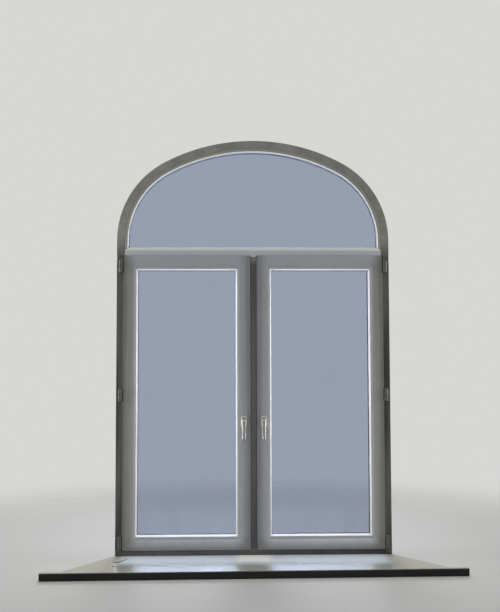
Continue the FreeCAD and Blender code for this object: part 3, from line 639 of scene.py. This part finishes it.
def add_piece(name, points, faces, finish):
    """A small piece that belongs to the whole window, with a finish."""
    mesh = bpy.data.meshes.new(name)
    mesh.from_pydata(points, [], faces)
    mesh.materials.append(finishes[finish])
    mesh.shade_smooth()
    made = bpy.data.objects.new(name, mesh)
    scene.collection.objects.link(made)
    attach(made, "root")


def quads(rows, count, closed=False):
    """Four-sided faces over rows of points, each row open or closed into a ring."""
    faces = []
    for row in range(rows - 1):
        for i in range(count if closed else count - 1):
            j = (i + 1) % count
            faces.append((row * count + i, row * count + j,
                          (row + 1) * count + j, (row + 1) * count + i))
    return faces


# The handle collar's outline: radius, and height off the rosette
COLLAR = (
    (0.0088, 0.0), (0.0118, 0.0), (0.0122, 0.0006), (0.0122, 0.0014), (0.0114, 0.0024),
    (0.0100, 0.0030), (0.0088, COLLAR_HEIGHT),
)
COLLAR_STEPS = 48


def handle_collar(name, x):
    """The round collar between a lever's neck and its rosette."""
    points = []
    for radius, height in COLLAR:
        for step in range(COLLAR_STEPS):
            angle = 2 * math.pi * step / COLLAR_STEPS
            points.append((x + radius * math.cos(angle), ROSETTE_FRONT - height,
                           HANDLE_LEVEL + radius * math.sin(angle)))
    back = range(COLLAR_STEPS)
    front = range(len(points) - COLLAR_STEPS, len(points))
    faces = quads(len(COLLAR), COLLAR_STEPS, closed=True)
    faces += [tuple(reversed(back)), tuple(front)]
    add_piece(name, points, faces, "handle")


BAND_LEVEL = 0.0235  # from the middle of a barrel to the middle of a band
BAND_HEIGHT = 0.0016
BAND_PROUD = 0.0003
BAND_SUNK = 0.00005  # how far a band's edges lie inside the barrel
NOSE_STEPS = 8


def barrel_outline(extra):
    """The hinge barrel's outline from above, about its axis, grown by a little."""
    half = BARREL_HALF + extra
    back = HINGE_AXIS_Y - INSIDE_FACE
    corner = BARREL_HALF - BARREL_NOSE
    radius = BARREL_NOSE + extra
    right_nose = []
    for step in range(NOSE_STEPS + 1):
        angle = math.radians(90 * step / NOSE_STEPS)
        right_nose.append((corner + radius * math.cos(angle), -corner - radius * math.sin(angle)))
    left_nose = [(-x, y) for x, y in reversed(right_nose)]
    return [(half, -back), *right_nose, *left_nose, (-half, -back)]


def hinge_band(name, x, level):
    """A fine raised line round a hinge barrel, where its cap begins."""
    rows = ((0.0, -0.5), (BAND_PROUD, -0.3), (BAND_PROUD, 0.3), (0.0, 0.5))
    points = []
    for extra, share in rows:
        for dx, dy in barrel_outline(extra - BAND_SUNK):
            points.append((x + dx, HINGE_AXIS_Y + dy, level + share * BAND_HEIGHT))
    add_piece(name, points, quads(len(rows), len(points) // len(rows)), "hinge")


for side, hand in (("left", -1), ("right", 1)):
    handle_collar(f"{side}_handle_collar", hand * HANDLE_X)
    for place, level in HINGE_LEVELS.items():
        for end, way in (("low", -1), ("high", 1)):
            hinge_band(f"{side}_{place}_hinge_band_{end}", hand * HINGE_X, level + way * BAND_LEVEL)


# A lump's smallest and largest length and bulge, and its height, as shares of its size
LUMP_LENGTHS = (0.75, 1.25)
LUMP_BULGES = (0.72, 1.15)
LUMP_HEIGHT = 0.45


def lump(name, spot, size, flat, finish, seed):
    """A small irregular crumb that lies at a spot, flattened along one axis."""
    dice = random.Random(seed)
    work = bmesh.new()
    bmesh.ops.create_icosphere(work, subdivisions=2, radius=0.5)
    stretch = [size * dice.uniform(*LUMP_LENGTHS) for axis in (X, Y, Z)]
    stretch[flat] = size * LUMP_HEIGHT
    for vert in work.verts:
        bulge = dice.uniform(*LUMP_BULGES)
        vert.co = Vector([spot[i] + vert.co[i] * stretch[i] * bulge for i in range(3)])
    points = [vert.co.copy() for vert in work.verts]
    faces = [tuple(vert.index for vert in face.verts) for face in work.faces]
    work.free()
    add_piece(name, points, faces, finish)


# Crumbs of plaster and specks of dirt on the board: x, y and size
CRUMBS = (
    (-0.856, -0.193, 0.009), (-0.866, -0.214, 0.005), (-0.838, -0.176, 0.004),
    (-0.846, -0.204, 0.003), (-0.823, -0.150, 0.004), (-0.880, -0.238, 0.003),
)
SPECKS = (
    (0.218, -0.246, 0.006), (-0.745, -0.282, 0.010), (-0.733, -0.279, 0.007),
    (0.047, -0.352, 0.005),
)
# How far their middles lie above it, as shares of their size
CRUMB_LIFT = 0.15
SPECK_LIFT = 0.1
RAIL_SPECK = (0.131, SASH_FACE, 0.0864)

for i, (x, y, size) in enumerate(CRUMBS):
    spot = (x, y, BOARD_TOP + size * CRUMB_LIFT)
    lump(f"board_crumb_{i}", spot, size, Z, "chip", seed=i)
for i, (x, y, size) in enumerate(SPECKS):
    spot = (x, y, BOARD_TOP + size * SPECK_LIFT)
    lump(f"board_speck_{i}", spot, size, Z, "mark", seed=20 + i)
lump("rail_speck", RAIL_SPECK, size=0.005, flat=Y, finish="mark", seed=40)


# The lifted flake of paint beside the left jamb, from left to right: its front edge's x and y,
# how deep it is there, and how far the edge has lifted
FLAKE = (
    (-0.762, -0.178, 0.004, 0.0006), (-0.745, -0.187, 0.024, 0.0036),
    (-0.727, -0.186, 0.030, 0.0042), (-0.709, -0.160, 0.026, 0.0030),
    (-0.694, -0.116, 0.018, 0.0022), (-0.684, -0.080, 0.005, 0.0005),
)
FLAKE_THICKNESS = 0.0007
FLAKE_LEAN = 0.2  # how far its back edge lies to the right, as a share of its depth
FLAKE_STEPS = 6


def paint_flake():
    """A curled flake with thickness, rising from its back edge to its front edge."""
    tops, lows = [], []
    for x, y, deep, lift in FLAKE:
        for step in range(FLAKE_STEPS):
            share = step / (FLAKE_STEPS - 1)
            behind = deep * (1 - share)
            place = (x + FLAKE_LEAN * behind, y + behind)
            level = BOARD_TOP + lift * share ** 2
            tops.append((*place, level + FLAKE_THICKNESS))
            lows.append((*place, level - FLAKE_THICKNESS * (1 - share)))
    upper = quads(len(FLAKE), FLAKE_STEPS)
    under = len(tops)
    lower = [(under + a, under + d, under + c, under + b) for a, b, c, d in upper]
    ends = range(FLAKE_STEPS - 1, under, FLAKE_STEPS)
    front = [(a, under + a, under + b, b) for a, b in zip(ends, ends[1:])]
    add_piece("paint_flake", tops + lows, upper + lower + front, "chip")


def flake_shade_sheet():
    """A dark sheet under the flake's front edge, a painted shade of the gap beneath it."""
    points = []
    for x, y, _, lift in FLAKE:
        section = ((-0.0035, 0.0001), (0.0005, 0.0004), (0.0012, lift * 0.85), (0.006, 0.0001))
        points += [(x, y + behind, BOARD_TOP + rise) for behind, rise in section]
    faces = quads(len(FLAKE), len(points) // len(FLAKE))
    add_piece("flake_shade_sheet", points, faces, "mark")


paint_flake()
flake_shade_sheet()


# Floor, light and camera

FLOOR_REACH = 4.0
FLOOR_TONE = (0.42, 0.41, 0.395)
FLOOR_FADE = (1.3, 3.6)  # outwards from its middle

INSIDE_LIGHT = (0.215, 0.22, 0.23)
OUTSIDE_LIGHT = (0.34, 0.36, 0.40)
ZENITH_LIGHT = (1.15, 1.14, 1.11)
OUTSIDE_SPAN = (-0.5, 0.6)  # of a direction's y, from inside to outside
ZENITH_SPAN = (0.55, 0.95)  # of a direction's z
BACKDROP = (0.68, 0.675, 0.655)
SKY = (0.90, 0.94, 1.0)
CREAM = (1.0, 0.94, 0.82)
LAMP_WHITE = (1.0, 0.985, 0.95)
ROOM_WHITE = (1.0, 0.99, 0.98)

CAMERA_PLACE = (-0.1415, -4.9136, 1.130)
CAMERA_ANGLES = (1.437, 3.376, -0.139)  # to the right, up and counterclockwise, in degrees
CAMERA_LENS = 51.18


def floor():
    """A plain floor that fades out into the backdrop."""
    mesh = bpy.data.meshes.new("floor")
    corners = [(-FLOOR_REACH, -FLOOR_REACH, 0), (FLOOR_REACH, -FLOOR_REACH, 0),
               (FLOOR_REACH, FLOOR_REACH, 0), (-FLOOR_REACH, FLOOR_REACH, 0)]
    mesh.from_pydata(corners, [], [(0, 1, 2, 3)])
    made = bpy.data.objects.new("floor", mesh)
    scene.collection.objects.link(made)
    paint = new_paint("floor_paint")
    far = paint.value("ShaderNodeVectorMath", "Value", {"operation": "LENGTH"}, Vector=paint.place)
    paint.set(Base_Color=FLOOR_TONE, Roughness=0.85, Alpha=paint.fall(far, FLOOR_FADE))
    mesh.materials.append(paint.owner)


def world():
    """A plain backdrop for the camera, and soft light, stronger from outside and above."""
    studio = Recipe(bpy.data.worlds.new("studio"), "Generated")
    light = studio.blend(studio.rise(studio.y, OUTSIDE_SPAN), INSIDE_LIGHT, OUTSIDE_LIGHT)
    light = studio.blend(studio.rise(studio.z, ZENITH_SPAN), light, ZENITH_LIGHT)
    seen = studio.value("ShaderNodeLightPath", "Is Camera Ray")
    light = studio.blend(seen, light, BACKDROP)
    studio.feed(studio.tree.nodes["Background"].inputs["Color"], light)
    scene.world = studio.owner


def softbox(name, spot, aim, size, watts, colour, spread=180, mirrored=True):
    """A lamp that the camera doesn't see. Spread is in degrees."""
    data = bpy.data.lights.new(name, "AREA")
    data.shape = "RECTANGLE"
    data.size, data.size_y = size
    data.energy = watts
    data.color = colour
    data.spread = math.radians(spread)
    made = bpy.data.objects.new(name, data)
    made.location = spot
    made.rotation_euler = (Vector(aim) - Vector(spot)).to_track_quat("-Z", "Y").to_euler()
    made.visible_camera = False
    made.visible_glossy = mirrored
    scene.collection.objects.link(made)


def lamps():
    """Daylight on the outer side, and soft light in the room.

    Glow is what the glossy front of the board mirrors through the panes, and snow lights the
    outer side from below. Reveal and above graze the inner side, from beside it and above.
    """
    for side, hand in (("left", -1), ("right", 1)):
        softbox(f"low_sky_{side}", (hand * 3.4, 1.17, 1.35), (0, 0, 1.25), (0.9, 1.9),
                watts=3, colour=SKY, spread=22)
        softbox(f"reveal_{side}", (hand * 1.9, -0.12, 1.1), (0, -0.10, 1.05), (0.12, 1.7),
                watts=3, colour=CREAM, spread=40)
    softbox("sky", (0, 2.4, 4.6), (0, -0.2, 0.1), (1.6, 1.6), watts=30, colour=SKY)
    softbox("glow", (-0.1, 5.0, 2.8), (-0.1, -0.3, -0.3), (3.5, 1.2),
            watts=18.5, colour=SKY, spread=40)
    softbox("snow", (0, 0.9, 0.06), (0, 0.1, 2.2), (1.6, 0.5), watts=12, colour=SKY, spread=110)
    softbox("above", (0, -0.13, 4.3), (0, -0.13, 0), (2.2, 0.14),
            watts=12, colour=LAMP_WHITE, spread=120)
    softbox("room", (-0.4, -4.8, 2.4), (0, 0, 1.2), (2.0, 2.0),
            watts=28, colour=ROOM_WHITE, mirrored=False)


def camera():
    """The view from the room, built from its three angles."""
    turn, tilt, roll = (math.radians(angle) for angle in CAMERA_ANGLES)
    ahead = Vector((
        math.sin(turn) * math.cos(tilt), math.cos(turn) * math.cos(tilt), math.sin(tilt),
    ))
    right = Vector((math.cos(turn), -math.sin(turn), 0))
    up = right.cross(ahead)
    across = right * math.cos(roll) + up * math.sin(roll)
    upright = up * math.cos(roll) - right * math.sin(roll)
    data = bpy.data.cameras.new("camera")
    data.lens = CAMERA_LENS
    made = bpy.data.objects.new("camera", data)
    place = Matrix((across, upright, -ahead)).transposed().to_4x4()
    place.translation = CAMERA_PLACE
    made.matrix_world = place
    scene.collection.objects.link(made)
    scene.camera = made


scene.view_settings.view_transform = "Standard"
floor()
world()
lamps()
camera()
